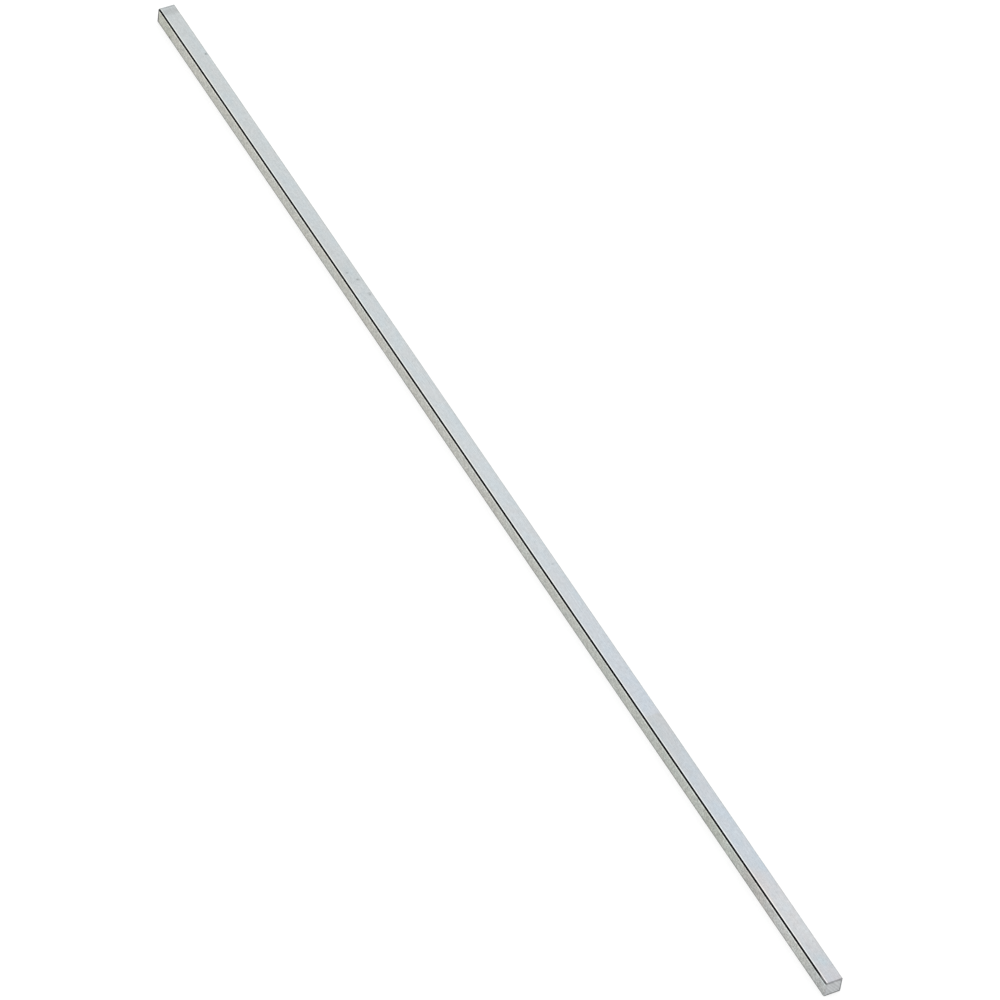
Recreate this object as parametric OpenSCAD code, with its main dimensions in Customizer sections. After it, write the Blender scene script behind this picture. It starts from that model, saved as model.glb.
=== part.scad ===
// Square key stock: a solid bar of square section, from which shaft keys are cut to length.
// The bar lies along X on one of its four faces, with the origin below its middle.

/* [Section] */
// Side of the square section, across the flats
key_side = 3.969; // [2:0.001:12]
// Radius of the four long corners, left by drawing
corner_radius = 0.25; // [0.22:0.01:0.6]

/* [Cut ends] */
// Length of the bar between its cut ends
bar_length = 304.8; // [50:0.1:1000]
// Width of the broken edge round each cut end
end_break = 0.15; // [0.05:0.01:0.2]

/* [Hidden] */
$fn = 48;

half_side = key_side / 2;
// From the bar's axis to the centres of the corner arcs, along both sides of the square
arc_offset = half_side - corner_radius;
// Length over which the section is full, between the two broken edges
full_length = bar_length - 2 * end_break;

// Puts its children at the centre of each corner arc of the section
module at_corner_arcs() {
    for (x = [-arc_offset, arc_offset], y = [-arc_offset, arc_offset])
        translate([x, y])
            children();
}

// The drawn section: two crossed bands between the flats, and a disc in each corner
module section() {
    square([key_side, 2 * arc_offset], center = true);
    square([2 * arc_offset, key_side], center = true);
    at_corner_arcs()
        circle(corner_radius);
}

// The last stretch before a cut, where the flats and the corner arcs draw in by the end break
module broken_end() {
    for (turn = [0, 90])
        rotate([90, 0, turn])
            linear_extrude(height = 2 * arc_offset, center = true)
                polygon([
                    [-half_side, 0],
                    [half_side, 0],
                    [half_side - end_break, end_break],
                    [end_break - half_side, end_break]
                ]);
    at_corner_arcs()
        cylinder(h = end_break, r1 = corner_radius, r2 = corner_radius - end_break);
}

// The whole bar, built standing on its middle and then laid down along X
module key_bar() {
    color("lightgray")
        translate([0, 0, half_side])
            rotate([0, 90, 0]) {
                linear_extrude(height = full_length, center = true)
                    section();
                for (end = [0, 1])
                    mirror([0, 0, end])
                        translate([0, 0, full_length / 2])
                            broken_end();
            }
}

key_bar();
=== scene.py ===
import math
import random
from collections import namedtuple

import bmesh
import bpy
from mathutils import Matrix, Vector


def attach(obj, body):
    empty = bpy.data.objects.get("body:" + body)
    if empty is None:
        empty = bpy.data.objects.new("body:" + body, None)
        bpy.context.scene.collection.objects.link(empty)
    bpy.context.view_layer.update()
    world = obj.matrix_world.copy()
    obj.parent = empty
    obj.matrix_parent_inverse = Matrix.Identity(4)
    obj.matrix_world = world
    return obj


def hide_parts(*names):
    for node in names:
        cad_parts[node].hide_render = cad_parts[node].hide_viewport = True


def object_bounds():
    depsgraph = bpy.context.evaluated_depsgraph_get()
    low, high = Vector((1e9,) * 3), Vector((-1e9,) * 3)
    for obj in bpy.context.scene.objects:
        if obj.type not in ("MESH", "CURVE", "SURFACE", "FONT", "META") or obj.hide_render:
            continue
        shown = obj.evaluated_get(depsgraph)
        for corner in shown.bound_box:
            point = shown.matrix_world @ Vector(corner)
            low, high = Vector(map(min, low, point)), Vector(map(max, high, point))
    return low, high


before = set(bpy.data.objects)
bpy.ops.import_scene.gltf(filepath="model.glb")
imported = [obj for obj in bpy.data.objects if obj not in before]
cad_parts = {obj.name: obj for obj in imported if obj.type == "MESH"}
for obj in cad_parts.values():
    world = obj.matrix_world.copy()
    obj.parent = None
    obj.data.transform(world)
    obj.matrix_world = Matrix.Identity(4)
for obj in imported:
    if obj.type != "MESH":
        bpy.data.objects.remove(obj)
cad_low, cad_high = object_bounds()

# The wear and painted shade of a long corner, how far it spreads over the flats before and after it, and how
# it fades there
Corner = namedtuple("Corner", "wear spread_before spread_after fade")
# A strip of painted highlight: how far it reaches from its corner, how it fades, and how much lighter it is
Rub = namedtuple("Rub", "reach fade lighter")
# The darkening round an end face, along its sides and at its corners
EndEdge = namedtuple("EndEdge", "sides corners")
# The end of the painted dark reflection line: where it begins to fade, over how far, and to what share of
# its darkness
LineEnd = namedtuple("LineEnd", "begin run share")
# A dent or a nick in the surface
Mark = namedtuple("Mark", "place radius depth dark")
# A point of the section, with the direction that it faces
SectionPoint = namedtuple("SectionPoint", "place direction wear rub")
# A ring of points round the bar: where it lies, how far its section is drawn in, its share of the full size,
# and the share of the end's darkening that it takes
Ring = namedtuple("Ring", "x inset size end_share")
# A noise texture: its scale along X, Y and Z in cells a metre, its detail and its roughness
Noise = namedtuple("Noise", "scale detail roughness", defaults=(2.0, 0.5))
# How strongly and how far a texture is raised from the surface
Bump = namedtuple("Bump", "strength distance")

# The bar: its overall size comes from the frame, and its edge sizes are those of the solid
MM = 0.001
NODE = "key_bar"
LENGTH = cad_high.x - cad_low.x
SIDE = cad_high.z - cad_low.z
MIDDLE_HEIGHT = (cad_low.z + cad_high.z) / 2
CORNER_RADIUS = 0.25 * MM
END_BREAK = 0.15 * MM
# From the bar's middle to where its ends begin to break
REACH = LENGTH / 2 - END_BREAK

# The section's corners go from top rear over top front and bottom front to bottom rear,
# and each flat comes after the corner with its number
TOP = 0
FRONT = 1
# The bar's materials, in the order in which it takes them
PLATED = 0
CUT = 1

# How finely the surface is divided
ARC_STEPS = 8
FLAT_STEPS = 18
CAP_STEPS = 24
BREAK_STEPS = 3
RING_SPACING = 1.5 * MM
RINGS_PER_MARK = 7
# The width of a sharp step in wear and painted shade, with a point of the section on both sides of it
GUARD = 0.03 * MM
SHARP_ANGLE = math.radians(30)

# Small dents that show as specks: along the bar, across or up it, and radius, in millimetres, and how dark
TOP_DENTS = [
    (-135.3, 1.45, 0.54, 1.0),
    (-62.45, -0.35, 0.43, 1.0),
    (-59.75, 0.9, 0.58, 1.0),
    (-54.9, 1.2, 0.7, 0.8),
    (30.35, 0.75, 0.38, 0.42),
]
FLANK_DENTS = [(-146.1, 0.5, 0.5, 3.5)]
DENT_DEPTH = 0.03 * MM
# Lighter handling nicks, scattered over all sides, as far from the middle as this share of the length
NICK_COUNT = 26
NICK_SEED = 12
NICK_REACH = 0.49
NICK_RADIUS = (0.15 * MM, 0.3 * MM)
NICK_DEPTH = 0.012 * MM
NICK_DARK = 0.4

# Cutting marks across both end faces: fine grooves among wider swells, with their shares of the depth
SAW_ANGLE = math.radians(-54)
SAW_DEPTH = 0.015 * MM
SAW_PITCH = 0.62 * MM
SAW_SHARE = 0.35
SWELL_PITCH = 1.7 * MM
SWELL_SHARE = 0.15
# How far the marks wander, as an angle of their waves
SAW_WANDER = 0.6

# Wear and painted shade of the long corners, from none at 0 to full at 1 or more
CORNERS = (
    Corner(wear=0.12, spread_before=0.0, spread_after=0.0, fade=GUARD),
    # Top front: a near black painted dark reflection along the corner, spreading a little onto the flats
    Corner(wear=1.1, spread_before=0.05 * MM, spread_after=0.1 * MM, fade=GUARD),
    # Bottom front: painted shade that fades out over 0.4 mm onto the front flank and the bottom
    Corner(wear=0.55, spread_before=0.0, spread_after=0.0, fade=0.4 * MM),
    Corner(wear=0.2, spread_before=0.0, spread_after=0.0, fade=GUARD),
)
# The painted dark reflection along the top front corner fades close to the near end
LINE_END = LineEnd(begin=148.8 * MM, run=1.6 * MM, share=0.66)
# Strips of painted highlight on the top and the front flank, beside the painted dark reflection of the
# corner between them
TOP_PAINTED_HIGHLIGHT = Rub(reach=0.26 * MM, fade=0.05 * MM, lighter=0.48)
FLANK_PAINTED_HIGHLIGHT = Rub(reach=0.37 * MM, fade=0.05 * MM, lighter=0.75)
# Darkening round the end faces: their top, front, bottom and rear sides, and their corners in the order
# above
FAR_END = EndEdge(sides=(0.2, 1.0, 0.4, 0.4), corners=(0.3, 1.0, 0.7, 0.4))
NEAR_END = EndEdge(sides=(0.4, 0.12, 0.95, 0.75), corners=(0.7, 0.75, 1.0, 1.0))
# How many rings of an end face it darkens
RIM_RINGS = 5
# How far the darkening of the end edges runs on over the sides
FAR_END_RUN = 0.4 * MM
NEAR_END_RUN = 0.05 * MM

# Tints of the plating along the bar, from its far end at 0 to its near end at 1
TOP_TINTS = [
    (0.00, (0.59, 0.63, 0.64)),
    (0.10, (0.61, 0.65, 0.66)),
    (0.27, (0.61, 0.65, 0.665)),
    (0.50, (0.63, 0.67, 0.69)),
    (0.75, (0.61, 0.655, 0.705)),
    (0.902, (0.605, 0.655, 0.705)),
    (0.92, (0.655, 0.65, 0.665)),
    (0.95, (0.67, 0.68, 0.695)),
    (0.98, (0.605, 0.635, 0.665)),
    (0.995, (0.63, 0.62, 0.65)),
]
# The flanks are darker than the top by painted shade, with a warmer tint of the film
FLANK_SHADED_TINTS = [
    (0.00, (0.47, 0.475, 0.43)),
    (0.30, (0.46, 0.465, 0.425)),
    (0.50, (0.47, 0.475, 0.44)),
    (0.72, (0.435, 0.455, 0.42)),
    (0.873, (0.445, 0.475, 0.435)),
    (0.925, (0.445, 0.44, 0.42)),
    (0.95, (0.50, 0.52, 0.51)),
    (0.975, (0.465, 0.47, 0.435)),
    (0.993, (0.41, 0.435, 0.43)),
]
# Dull patches: where each begins along the bar and how softly, where it ends and how softly,
# in millimetres, and its tint
TOP_PATCHES = [
    (-151.6, 0.5, -149.6, 0.7, (0.85, 0.845, 0.84)),
    (-66.0, 1.5, -58.5, 1.5, (0.965, 0.97, 0.965)),
    (75.6, 0.3, 91.0, 21.0, (0.95, 0.93, 0.89)),
]
FLANK_PATCHES = [
    (-160.0, 1.0, -145.0, 1.0, (0.90, 0.905, 0.855)),
    (102.1, 0.3, 109.8, 0.3, (0.93, 0.92, 0.90)),
    (118.3, 0.3, 124.2, 0.3, (0.92, 0.91, 0.915)),
]
# Soft oval spots of film on the top: along the bar, across it, half length and half width,
# in millimetres, and tint
FILM_SPOTS = [
    (130.6, 0.6, 2.6, 1.6, (1.01, 1.03, 1.035)),
    (133.6, 0.8, 1.5, 1.4, (0.96, 0.955, 0.955)),
    (140.2, 0.9, 5.0, 1.0, (1.025, 1.04, 1.035)),
    (142.0, -0.2, 2.0, 0.9, (0.965, 0.955, 0.955)),
    (146.6, 0.3, 2.0, 1.2, (0.955, 1.01, 1.02)),
]
# The share of a spot's size within which its tint is full
SPOT_CORE = 0.2
# A warm cast on the top beside its front edge: how far over it is full, and over how much more it fades
WARM_REACH = 0.6 * MM
WARM_FADE = 0.35 * MM
WARM_TINT = (1.01, 0.985, 0.945)
# The film's tints, and where along the bar it grows stronger, from which share to which
FILM_TINTS = [(0.34, (0.95, 1.0, 1.03)), (0.5, (1.0, 1.0, 1.0)), (0.66, (1.03, 0.99, 0.975))]
FILM_GROWS = (85.0 * MM, 125.0 * MM)
FILM_SHARE = (0.5, 0.65)
CUT_COLOUR = (0.51, 0.525, 0.535)
# Near black of worn edges, also the painted dark reflection along the top front corner and the painted shade
# along the bottom front one
WEAR_AND_SHADE_COLOUR = (0.005, 0.005, 0.006)

# Textures of the plating and of the cut ends
TINT_NOISE = Noise(scale=(25.0, 120.0, 120.0))
MOTTLE_NOISE = Noise(scale=(1000.0, 1300.0, 1300.0))
GRAIN_NOISE = Noise(scale=(2600.0, 3400.0, 3400.0), detail=1.0)
FILM_NOISE = Noise(scale=(240.0, 420.0, 420.0), detail=3.0)
STREAK_NOISE = Noise(scale=(7.0, 3200.0, 3200.0), detail=4.0, roughness=0.6)
SPECK_NOISE = Noise(scale=(1500.0, 2600.0, 2600.0), detail=1.0)
STAIN_NOISE = Noise(scale=(2200.0, 2200.0, 2200.0))
WEAR_AND_SHADE_NOISE = Noise(scale=(320.0, 900.0, 900.0))
CUT_NOISE = Noise(scale=(400.0, 9000.0, 500.0), detail=3.0)
BLOTCH_NOISE = Noise(scale=(900.0, 900.0, 900.0))

# The values of a noise between which it takes effect
NOISE_SPREAD = (0.3, 0.7)
ROUGH_SPREAD = (0.25, 0.75)
SPECK_SPREAD = (0.74, 0.82)
STAIN_SPREAD = (0.35, 0.6)
# How far the noise shifts the tints along the bar, as a share of the length
TINT_SHIFT = (-0.012, 0.012)
# What a colour is multiplied by where a texture is lowest and where it is highest
TOP_MOTTLE = (0.965, 1.035)
FLANK_MOTTLE = (0.92, 1.08)
TOP_GRAIN = (0.95, 1.05)
FLANK_GRAIN = (0.7, 1.3)
STREAK_SHADE = (0.955, 1.03)
SPECK_SHADE = (1.0, 0.75)
CUT_SHADE = (0.9, 1.08)
BLOTCH_SHADE = (0.95, 1.04)
# Painted shade in the saw grooves of the cut ends, and painted highlight on their ridges
GROOVE_SHADE = (1.12, 0.86)
# The range of a dent's stain, what a colour is multiplied by at its ends, and how raggedly the stain shows
STAIN_RANGE = (0.0, 2.0)
STAIN_SHADE = (1.0, 0.1)
STAIN_SHARE = (0.25, 1.2)
# How far the wear and painted shade of the edges is broken up
WEAR_AND_SHADE_SHARE = (0.92, 1.3)
# Roughness of the plating, what the film adds to it, and how much of it is left on worn edges
ROUGHNESS = (0.22, 0.32)
HAZE = (-0.03, 0.04)
BURNISHED_WEAR = (0.0, 0.5)
BURNISH = (1.0, 0.4)
CUT_ROUGHNESS = (0.36, 0.48)
STREAK_BUMP = Bump(strength=0.25, distance=0.004 * MM)
CUT_BUMP = Bump(strength=0.3, distance=0.006 * MM)

# The camera, at the photograph's viewing angle
CAMERA_AIM = Vector((7.96, 0.394, 1.463)) * MM
CAMERA_AZIMUTH = math.radians(56.219)
CAMERA_ELEVATION = math.radians(46.58)
CAMERA_ROLL = math.radians(8.243)
CAMERA_DISTANCE = 1582.3 * MM
CAMERA_LENS = 269.75

# The studio: an even white surround and a white floor
SURROUND_STRENGTH = 1.0
FLOOR_SIZE = 8.0
FLOOR_COLOUR = (0.42, 0.42, 0.42)
FLOOR_GLOW = 0.68


# Mesh of the bar

def section(inset):
    """The points of the section, seen along X and drawn in by an inset."""
    radius = CORNER_RADIUS - inset
    offset = SIDE / 2 - CORNER_RADIUS
    quarter = math.pi / 2
    flat = 2 * offset
    points = []
    for index, corner in enumerate(CORNERS):
        start = index * quarter
        centre = Vector((math.cos(start) - math.sin(start), math.sin(start) + math.cos(start))) * offset
        for step in range(ARC_STEPS + 1):
            angle = start + quarter * step / ARC_STEPS
            direction = Vector((math.cos(angle), math.sin(angle)))
            points.append(SectionPoint(centre + direction * radius, direction, corner.wear, 0.0))
        # The flat runs on from the last point of the arc
        begin = points[-1].place
        run = Vector((-direction.y, direction.x))
        for step in flat_places(index, flat):
            wear, rub = flat_finish(index, step, flat - step)
            points.append(SectionPoint(begin + run * step, direction, wear, rub))
    return points


def flat_corners(index):
    """The corners before and after a flat."""
    return CORNERS[index], CORNERS[(index + 1) % len(CORNERS)]


def flat_places(index, flat):
    """Where a flat's points lie, from its first corner: evenly, wherever its wear and painted shade turns,
    and wherever its painted highlight turns.
    """
    first, second = flat_corners(index)
    places = {flat * step / FLAT_STEPS for step in range(1, FLAT_STEPS)}
    places |= {first.spread_after, first.spread_after + first.fade}
    places |= {flat - second.spread_before, flat - second.spread_before - second.fade}
    if index == TOP:
        places |= {flat - TOP_PAINTED_HIGHLIGHT.reach, flat - TOP_PAINTED_HIGHLIGHT.reach - TOP_PAINTED_HIGHLIGHT.fade}
    if index == FRONT:
        places |= {FLANK_PAINTED_HIGHLIGHT.reach, FLANK_PAINTED_HIGHLIGHT.reach + FLANK_PAINTED_HIGHLIGHT.fade}
    return sorted(place for place in places if 0 < place < flat)


def flat_finish(index, after, before):
    """The wear and painted shade, and the painted highlight, of a flat, this far after its first corner and
    before its second.
    """
    first, second = flat_corners(index)
    wear = max(
        first.wear * left_over(after, first.spread_after, first.fade),
        second.wear * left_over(before, second.spread_before, second.fade),
    )
    rub = 0.0
    if index == TOP:
        rub = TOP_PAINTED_HIGHLIGHT.lighter * left_over(before, TOP_PAINTED_HIGHLIGHT.reach, TOP_PAINTED_HIGHLIGHT.fade)
    if index == FRONT:
        rub = FLANK_PAINTED_HIGHLIGHT.lighter * left_over(after, FLANK_PAINTED_HIGHLIGHT.reach, FLANK_PAINTED_HIGHLIGHT.fade)
    return wear, rub


def left_over(far, reach, fade):
    """The share left of what is full as far as its reach and then fades out."""
    return min(1.0, max(0.0, 1 - (far - reach) / fade))


def corner_share(x, across, up):
    """The share left of a long corner's wear and painted shade. The painted dark reflection of the top front
    one fades near the near end.
    """
    if across > 0 or up < 0:
        return 1.0
    return LINE_END.share + (1 - LINE_END.share) * left_over(x, LINE_END.begin, LINE_END.run)


def end_darkening(direction, edge):
    """The darkening of an end edge that faces a direction, from that of its sides and corners."""
    top, front, bottom, rear = edge.sides
    top_rear, top_front, bottom_front, bottom_rear = edge.corners
    upright = top if direction.y > 0 else bottom
    level = rear if direction.x > 0 else front
    side_darkening = upright * direction.y ** 2 + level * direction.x ** 2
    if direction.y > 0:
        corner_darkening = top_rear if direction.x > 0 else top_front
    else:
        corner_darkening = bottom_rear if direction.x > 0 else bottom_front
    toward_corner = 2 * abs(direction.x * direction.y)
    return side_darkening + (corner_darkening - side_darkening) * toward_corner


def all_marks():
    """The dents of the top and the front flank, and a scatter of light nicks on all sides."""
    marks = []
    for x, y, radius, dark in TOP_DENTS:
        marks.append(Mark(Vector((x * MM, y * MM, SIDE)), radius * MM, DENT_DEPTH, dark))
    for x, z, radius, dark in FLANK_DENTS:
        marks.append(Mark(Vector((x * MM, -SIDE / 2, z * MM)), radius * MM, DENT_DEPTH, dark))
    chance = random.Random(NICK_SEED)
    outline = section(0.0)
    for _ in range(NICK_COUNT):
        point = chance.choice(outline).place
        along = chance.uniform(-NICK_REACH, NICK_REACH) * LENGTH
        place = Vector((along, point.x, point.y + MIDDLE_HEIGHT))
        marks.append(Mark(place, chance.uniform(*NICK_RADIUS), NICK_DEPTH, NICK_DARK))
    return marks


def body_places(marks):
    """Where the rings of the bar's sides lie along X: evenly, and closer together over each mark."""
    low = FAR_END_RUN + GUARD - REACH
    high = REACH - NEAR_END_RUN - GUARD
    count = round((high - low) / RING_SPACING)
    places = {low + (high - low) * step / count for step in range(1, count)} | {low, high}
    places |= {LINE_END.begin, LINE_END.begin + LINE_END.run}
    for mark in marks:
        for step in range(RINGS_PER_MARK):
            places.add(mark.place.x + mark.radius * (2 * step / (RINGS_PER_MARK - 1) - 1))
    return sorted(place for place in places if low <= place <= high)


def all_rings(marks):
    """The rings from the middle of the far end face, over the bar's sides, to the middle of the near one."""
    end = LENGTH / 2
    far_rings = []
    for step in range(1, CAP_STEPS):
        rim_share = max(0.0, 1 - (CAP_STEPS - step) / RIM_RINGS)
        far_rings.append(Ring(-end, END_BREAK, step / CAP_STEPS, rim_share))
    for step in range(BREAK_STEPS + 1):
        rise = END_BREAK * step / BREAK_STEPS
        far_rings.append(Ring(-end + rise, END_BREAK - rise, 1.0, 1.0))
    body = [Ring(FAR_END_RUN - REACH, 0.0, 1.0, 1.0)]
    body += [Ring(x, 0.0, 1.0, 0.0) for x in body_places(marks)]
    body += [Ring(REACH - NEAR_END_RUN, 0.0, 1.0, 1.0)]
    near_rings = [ring._replace(x=-ring.x) for ring in reversed(far_rings)]
    return far_rings + body + near_rings


def dent(place, marks):
    """How deep the marks press in at a place, and how dark they leave it."""
    depth = 0.0
    stain_and_groove_shade = 0.0
    for mark in marks:
        far = (place - mark.place).length / mark.radius
        if far < 1:
            bowl = (1 - far * far) ** 2
            depth += mark.depth * bowl
            stain_and_groove_shade = max(stain_and_groove_shade, mark.dark * bowl)
    return depth, stain_and_groove_shade


def saw_groove(across, up):
    """How deep the cutting marks lie at a place on an end face, from 0 to 1."""
    run = up * math.cos(SAW_ANGLE) - across * math.sin(SAW_ANGLE)
    drift = SAW_WANDER * math.sin(2 * math.pi * (up + across) / SIDE)
    fine = math.sin(2 * math.pi * run / SAW_PITCH + drift)
    swell = math.sin(2 * math.pi * run / SWELL_PITCH - drift)
    return SAW_SHARE * (1 + fine) + SWELL_SHARE * (1 + swell)


def ring_vertices(shape, layers, ring, marks):
    """The vertices of one ring, with their wear and painted shade, their stains with the painted shade of
    the saw grooves, and their painted highlight.
    """
    near = [mark for mark in marks if abs(mark.place.x - ring.x) < mark.radius]
    edge = FAR_END if ring.x < 0 else NEAR_END
    on_end = abs(ring.x) == LENGTH / 2
    on_body = ring.inset == 0 and ring.end_share == 0
    vertices = []
    for point in section(ring.inset):
        across, up = point.place * ring.size
        place = Vector((ring.x, across, up + MIDDLE_HEIGHT))
        groove = saw_groove(across, up) if on_end else 0.0
        place.x -= math.copysign(SAW_DEPTH * groove, ring.x)
        depth, stain_and_groove_shade = dent(place, near)
        place -= Vector((0.0, point.direction.x, point.direction.y)) * depth
        vertex = shape.verts.new(place)
        # The layer takes the saw grooves' depth too, which the cut ends turn into painted shade
        vertex[layers["stain_and_groove_shade"]] = max(stain_and_groove_shade, groove)
        if on_body:
            # Wear and painted shade of the long corners, and the painted highlight beside the top front one
            vertex[layers["wear"]] = point.wear * corner_share(ring.x, across, up)
            vertex[layers["rub"]] = point.rub
        else:
            vertex[layers["wear"]] = ring.end_share * end_darkening(point.direction, edge)
        vertices.append(vertex)
    return vertices


def add_face(shape, corners, material):
    """A smooth face of one of the bar's materials."""
    face = shape.faces.new(corners)
    face.smooth = True
    face.material_index = material


def join_rings(shape, rings):
    """Skins the rings with quads and closes both ends at a middle point."""
    for index, (first, second) in enumerate(zip(rings, rings[1:])):
        on_end = index < CAP_STEPS - 1 or index >= len(rings) - CAP_STEPS
        for side in range(len(first)):
            corners = (first[side - 1], first[side], second[side], second[side - 1])
            add_face(shape, corners, CUT if on_end else PLATED)
    for ring, turn in ((rings[0], -1), (rings[-1], 1)):
        middle = shape.verts.new(sum((vertex.co for vertex in ring), Vector()) / len(ring))
        for side in range(len(ring)):
            add_face(shape, (middle, ring[side - 1], ring[side])[::turn], CUT)


def bar_mesh():
    """The bar as rings from end to end, with its dents, worn edges and cut end faces."""
    marks = all_marks()
    shape = bmesh.new()
    layers = {name: shape.verts.layers.float.new(name) for name in ("wear", "stain_and_groove_shade", "rub")}
    join_rings(shape, [ring_vertices(shape, layers, ring, marks) for ring in all_rings(marks)])
    mesh = bpy.data.meshes.new("key_bar_finish")
    shape.normal_update()
    shape.to_mesh(mesh)
    shape.free()
    mesh.set_sharp_from_angle(angle=SHARP_ANGLE)
    return mesh


# Nodes that the materials are made of

def add(tree, kind, inputs=None, **settings):
    """A new node. Each input takes a value or another node's output."""
    node = tree.nodes.new(kind)
    for name, value in settings.items():
        setattr(node, name, value)
    for name, value in (inputs or {}).items():
        if isinstance(value, bpy.types.NodeSocket):
            tree.links.new(value, node.inputs[name])
        else:
            node.inputs[name].default_value = value
    return node


def colour4(rgb):
    """A colour with full opacity, as the sockets take it."""
    return (*rgb, 1.0)


def math_of(tree, operation, *values):
    """The result of a math operation on values."""
    return add(tree, "ShaderNodeMath", dict(enumerate(values)), operation=operation).outputs[0]


def remap(tree, value, low, high, new_low, new_high, smooth=False):
    """A value carried over from one range to another, and held inside it."""
    inputs = {"Value": value, "From Min": low, "From Max": high, "To Min": new_low, "To Max": new_high}
    kind = "SMOOTHSTEP" if smooth else "LINEAR"
    return add(tree, "ShaderNodeMapRange", inputs, interpolation_type=kind).outputs["Result"]


def mix_colour(tree, factor, first, second, blend="MIX"):
    """Two colours mixed. The node has sockets of the same names for other kinds, so these go by number."""
    inputs = {0: factor, 6: first, 7: second}
    return add(tree, "ShaderNodeMix", inputs, data_type="RGBA", blend_type=blend).outputs[2]


def scaled(tree, colour, value):
    """A colour times a grey value."""
    inputs = {"Red": value, "Green": value, "Blue": value}
    grey = add(tree, "ShaderNodeCombineColor", inputs).outputs["Color"]
    return mix_colour(tree, 1.0, colour, grey, "MULTIPLY")


def ramp(tree, value, stops):
    """A colour that follows a value through the given stops."""
    node = add(tree, "ShaderNodeValToRGB", {"Fac": value})
    elements = node.color_ramp.elements
    while len(elements) < len(stops):
        elements.new(1.0)
    for element, (place, rgb) in zip(elements, stops):
        element.position = place
        element.color = colour4(rgb)
    return node.outputs["Color"]


def noise(tree, place, texture):
    """A noise texture over the given coordinates."""
    stretched = add(tree, "ShaderNodeMapping", {"Vector": place, "Scale": texture.scale}).outputs["Vector"]
    inputs = {"Vector": stretched, "Scale": 1.0, "Detail": texture.detail, "Roughness": texture.roughness}
    return add(tree, "ShaderNodeTexNoise", inputs).outputs["Fac"]


def attribute(tree, name):
    """A value that the mesh carries at its points."""
    return add(tree, "ShaderNodeAttribute", attribute_name=name).outputs["Fac"]


# Materials of the bar

def new_material(name):
    """A new material, its node tree and its shader."""
    material = bpy.data.materials.new(name)
    material.use_nodes = True
    tree = material.node_tree
    return material, tree, tree.nodes["Principled BSDF"]


def soft_step(tree, along, place, soft, before, after):
    """A value that turns softly at a place along the bar, in millimetres, from one to another."""
    return remap(tree, along, (place - soft) * MM, (place + soft) * MM, before, after, smooth=True)


def patched(tree, colour, along, patches):
    """A colour with dull patches between given places along the bar."""
    for begin, begin_soft, end, end_soft, tint in patches:
        rise = soft_step(tree, along, begin, begin_soft, 0.0, 1.0)
        fall = soft_step(tree, along, end, end_soft, 1.0, 0.0)
        inside = math_of(tree, "MULTIPLY", rise, fall)
        colour = mix_colour(tree, inside, colour, colour4(tint), "MULTIPLY")
    return colour


def spotted(tree, colour, place, spots):
    """A colour with soft oval spots at given places on the top."""
    for x, y, half_length, half_width, tint in spots:
        scale = (1 / (half_length * MM), 1 / (half_width * MM), 0.0)
        shift = (-x / half_length, -y / half_width, 0.0)
        inputs = {"Vector": place, "Scale": scale, "Location": shift}
        from_middle = add(tree, "ShaderNodeMapping", inputs).outputs["Vector"]
        far = add(tree, "ShaderNodeVectorMath", {0: from_middle}, operation="LENGTH").outputs["Value"]
        inside = remap(tree, far, SPOT_CORE, 1.0, 1.0, 0.0, smooth=True)
        colour = mix_colour(tree, inside, colour, colour4(tint), "MULTIPLY")
    return colour


def plating_colours(tree, place, axes):
    """The colours of the top and of the flanks, the flanks darker by painted shade: their tints, patches,
    spots, mottle and grain.
    """
    along = axes["X"]
    drift = remap(tree, noise(tree, place, TINT_NOISE), *NOISE_SPREAD, *TINT_SHIFT)
    share = math_of(tree, "ADD", remap(tree, along, -LENGTH / 2, LENGTH / 2, 0.0, 1.0), drift)
    top = patched(tree, ramp(tree, share, TOP_TINTS), along, TOP_PATCHES)
    top = spotted(tree, top, place, FILM_SPOTS)
    warm_edge = WARM_REACH - SIDE / 2
    warm = remap(tree, axes["Y"], warm_edge, warm_edge + WARM_FADE, 1.0, 0.0, smooth=True)
    top = mix_colour(tree, warm, top, colour4(WARM_TINT), "MULTIPLY")
    shaded_flank = patched(tree, ramp(tree, share, FLANK_SHADED_TINTS), along, FLANK_PATCHES)
    mottle = noise(tree, place, MOTTLE_NOISE)
    top = scaled(tree, top, remap(tree, mottle, *NOISE_SPREAD, *TOP_MOTTLE))
    shaded_flank = scaled(tree, shaded_flank, remap(tree, mottle, *NOISE_SPREAD, *FLANK_MOTTLE))
    grain = noise(tree, place, GRAIN_NOISE)
    top = scaled(tree, top, remap(tree, grain, *NOISE_SPREAD, *TOP_GRAIN))
    shaded_flank = scaled(tree, shaded_flank, remap(tree, grain, *NOISE_SPREAD, *FLANK_GRAIN))
    return top, shaded_flank


def broken_wear_and_shade(tree, place):
    """The wear and painted shade of the edges, broken up a little along them."""
    patchy = remap(tree, noise(tree, place, WEAR_AND_SHADE_NOISE), *NOISE_SPREAD, *WEAR_AND_SHADE_SHARE)
    return math_of(tree, "MINIMUM", math_of(tree, "MULTIPLY", attribute(tree, "wear"), patchy), 1.0)


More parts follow.
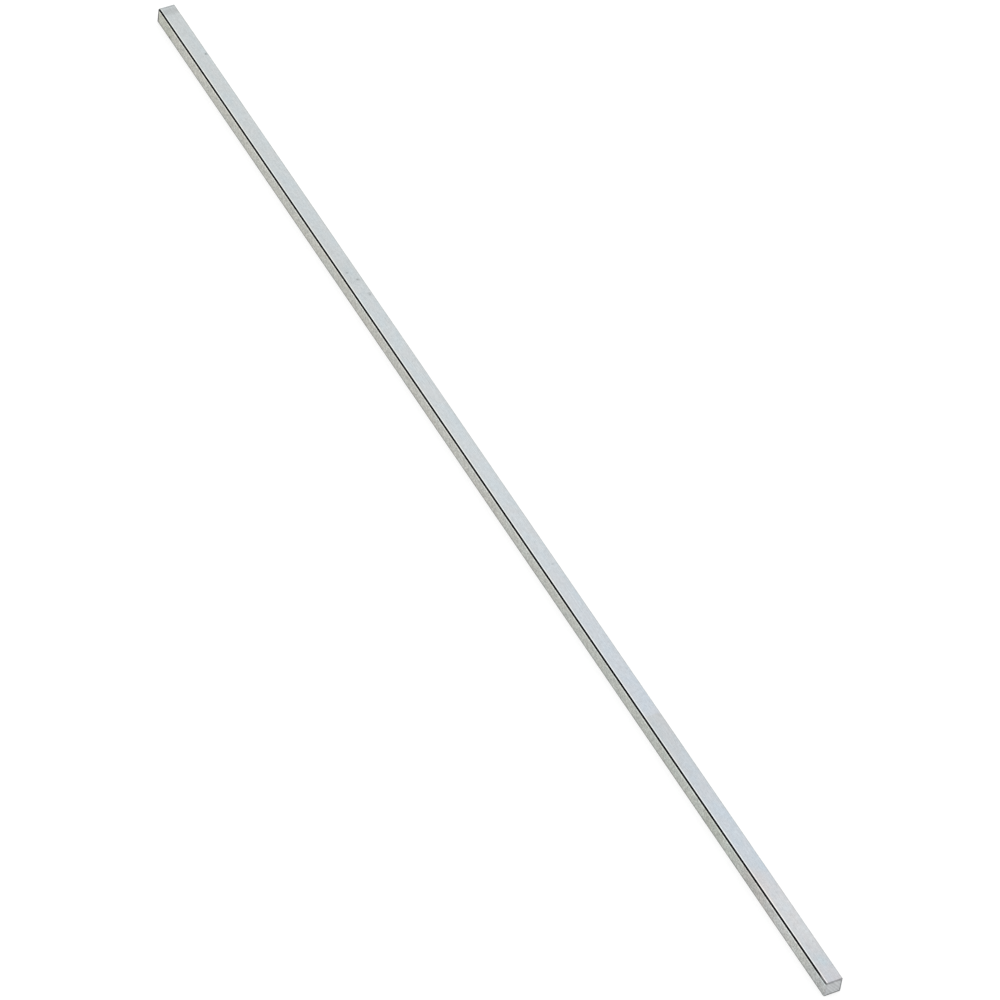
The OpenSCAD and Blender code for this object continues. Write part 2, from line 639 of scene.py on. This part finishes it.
def marked_with_painted_light(tree, colour, place):
    """A colour with specks, stained dents, strips of painted highlight, and edges darkened by wear and
    painted shade.
    """
    speck = noise(tree, place, SPECK_NOISE)
    colour = scaled(tree, colour, remap(tree, speck, *SPECK_SPREAD, *SPECK_SHADE))
    ragged = remap(tree, noise(tree, place, STAIN_NOISE), *STAIN_SPREAD, *STAIN_SHARE)
    stain_and_groove_shade = math_of(tree, "MULTIPLY", attribute(tree, "stain_and_groove_shade"), ragged)
    colour = scaled(tree, colour, remap(tree, stain_and_groove_shade, *STAIN_RANGE, *STAIN_SHADE))
    # Painted highlight on the strips beside the top front corner
    colour = scaled(tree, colour, math_of(tree, "ADD", attribute(tree, "rub"), 1.0))
    # Near black on edges for wear and for painted shade, the top front corner's painted dark reflection
    # among it
    return mix_colour(tree, broken_wear_and_shade(tree, place), colour, colour4(WEAR_AND_SHADE_COLOUR))


def make_metal(tree, shader, colour, rough, lines, bump):
    """Makes the shader a metal of a colour and roughness, with raised lines."""
    inputs = {"Height": lines, "Strength": bump.strength, "Distance": bump.distance}
    raised = add(tree, "ShaderNodeBump", inputs)
    tree.links.new(colour, shader.inputs["Base Color"])
    tree.links.new(rough, shader.inputs["Roughness"])
    tree.links.new(raised.outputs["Normal"], shader.inputs["Normal"])
    shader.inputs["Metallic"].default_value = 1.0


def bright_zinc():
    """Bright zinc over a drawn bar: faint film tints, flanks darkened by painted shade, lengthwise draw
    lines, specks, strips of painted highlight, and edges darkened by wear and painted shade, with a painted
    dark reflection along the top front corner.
    """
    material, tree, shader = new_material("bright_zinc")
    coordinates = add(tree, "ShaderNodeTexCoord").outputs
    place = coordinates["Object"]
    axes = add(tree, "ShaderNodeSeparateXYZ", {"Vector": place}).outputs
    facing = add(tree, "ShaderNodeSeparateXYZ", {"Vector": coordinates["Normal"]}).outputs
    top, shaded_flank = plating_colours(tree, place, axes)
    # The flanks take the darker colour of painted shade, the top and bottom the lighter one
    colour = mix_colour(tree, math_of(tree, "ABSOLUTE", facing["Y"]), top, shaded_flank)
    film = noise(tree, place, FILM_NOISE)
    film_share = remap(tree, axes["X"], *FILM_GROWS, *FILM_SHARE)
    colour = mix_colour(tree, film_share, colour, ramp(tree, film, FILM_TINTS), "MULTIPLY")
    streak = noise(tree, place, STREAK_NOISE)
    colour = scaled(tree, colour, remap(tree, streak, *NOISE_SPREAD, *STREAK_SHADE))
    colour = marked_with_painted_light(tree, colour, place)

    rough = remap(tree, streak, *ROUGH_SPREAD, *ROUGHNESS)
    haze = remap(tree, film, *NOISE_SPREAD, *HAZE)
    burnish = remap(tree, attribute(tree, "wear"), *BURNISHED_WEAR, *BURNISH)
    rough = math_of(tree, "MULTIPLY", math_of(tree, "ADD", rough, haze), burnish)
    make_metal(tree, shader, colour, rough, streak, STREAK_BUMP)
    return material


def cut_steel():
    """The cut end faces: greyer and duller than the sides, with fine lines along the cut, painted shade in
    the saw grooves and painted highlight on their ridges.
    """
    material, tree, shader = new_material("cut_end")
    place = add(tree, "ShaderNodeTexCoord").outputs["Object"]
    turn = (math.pi / 2 - SAW_ANGLE, 0.0, 0.0)
    along_cut = add(tree, "ShaderNodeMapping", {"Vector": place, "Rotation": turn}).outputs["Vector"]
    line = noise(tree, along_cut, CUT_NOISE)
    blotch = noise(tree, place, BLOTCH_NOISE)
    colour = scaled(tree, colour4(CUT_COLOUR), remap(tree, line, *NOISE_SPREAD, *CUT_SHADE))
    colour = scaled(tree, colour, remap(tree, blotch, *NOISE_SPREAD, *BLOTCH_SHADE))
    # Painted shade in the saw grooves and painted highlight on their ridges
    colour = scaled(tree, colour, remap(tree, attribute(tree, "stain_and_groove_shade"), 0.0, 1.0, *GROOVE_SHADE))
    colour = mix_colour(tree, broken_wear_and_shade(tree, place), colour, colour4(WEAR_AND_SHADE_COLOUR))
    rough = remap(tree, line, *NOISE_SPREAD, *CUT_ROUGHNESS)
    make_metal(tree, shader, colour, rough, line, CUT_BUMP)
    return material


# Studio

def floor_material():
    """A matte white that keeps a shadow and glows for the eye and in reflections."""
    material = bpy.data.materials.new("white_floor")
    material.use_nodes = True
    tree = material.node_tree
    tree.nodes.clear()
    rays = add(tree, "ShaderNodeLightPath").outputs
    seen = math_of(tree, "MAXIMUM", rays["Is Camera Ray"], rays["Is Glossy Ray"])
    seen = math_of(tree, "MAXIMUM", seen, rays["Is Transmission Ray"])
    glow = add(tree, "ShaderNodeEmission", {"Strength": math_of(tree, "MULTIPLY", seen, FLOOR_GLOW)})
    matte = add(tree, "ShaderNodeBsdfDiffuse", {"Color": colour4(FLOOR_COLOUR)})
    both = add(tree, "ShaderNodeAddShader", {0: glow.outputs[0], 1: matte.outputs[0]})
    add(tree, "ShaderNodeOutputMaterial", {"Surface": both.outputs[0]})
    return material


def white_floor():
    """The floor that the bar lies on."""
    shape = bmesh.new()
    bmesh.ops.create_grid(shape, x_segments=1, y_segments=1, size=FLOOR_SIZE / 2)
    mesh = bpy.data.meshes.new("floor")
    shape.to_mesh(mesh)
    shape.free()
    mesh.materials.append(floor_material())
    floor = bpy.data.objects.new("floor", mesh)
    bpy.context.scene.collection.objects.link(floor)


def studio_light():
    """An even white surround."""
    world = bpy.data.worlds.new("studio")
    world.use_nodes = True
    background = world.node_tree.nodes["Background"]
    background.inputs["Color"].default_value = (1.0, 1.0, 1.0, 1.0)
    background.inputs["Strength"].default_value = SURROUND_STRENGTH
    bpy.context.scene.world = world


def photo_camera():
    """A long lens, looking down on the bar from beyond its near end."""
    level = math.cos(CAMERA_ELEVATION)
    back = Vector((
        math.sin(CAMERA_AZIMUTH) * level,
        -math.cos(CAMERA_AZIMUTH) * level,
        math.sin(CAMERA_ELEVATION),
    ))
    level_right = (-back).cross(Vector((0.0, 0.0, 1.0))).normalized()
    level_up = back.cross(level_right)
    right = level_right * math.cos(CAMERA_ROLL) + level_up * math.sin(CAMERA_ROLL)
    up = back.cross(right)
    data = bpy.data.cameras.new("photo_camera")
    data.lens = CAMERA_LENS
    camera = bpy.data.objects.new("photo_camera", data)
    turn = Matrix((right, up, back)).transposed().to_4x4()
    camera.matrix_world = Matrix.Translation(CAMERA_AIM + back * CAMERA_DISTANCE) @ turn
    bpy.context.scene.collection.objects.link(camera)
    bpy.context.scene.camera = camera


photo_camera()
studio_light()
white_floor()

bar = bpy.data.objects.new("plated_bar", bar_mesh())
bpy.context.scene.collection.objects.link(bar)
bar.data.materials.append(bright_zinc())
bar.data.materials.append(cut_steel())
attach(bar, "root")
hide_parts(NODE)

bpy.context.scene.view_settings.view_transform = "Standard"
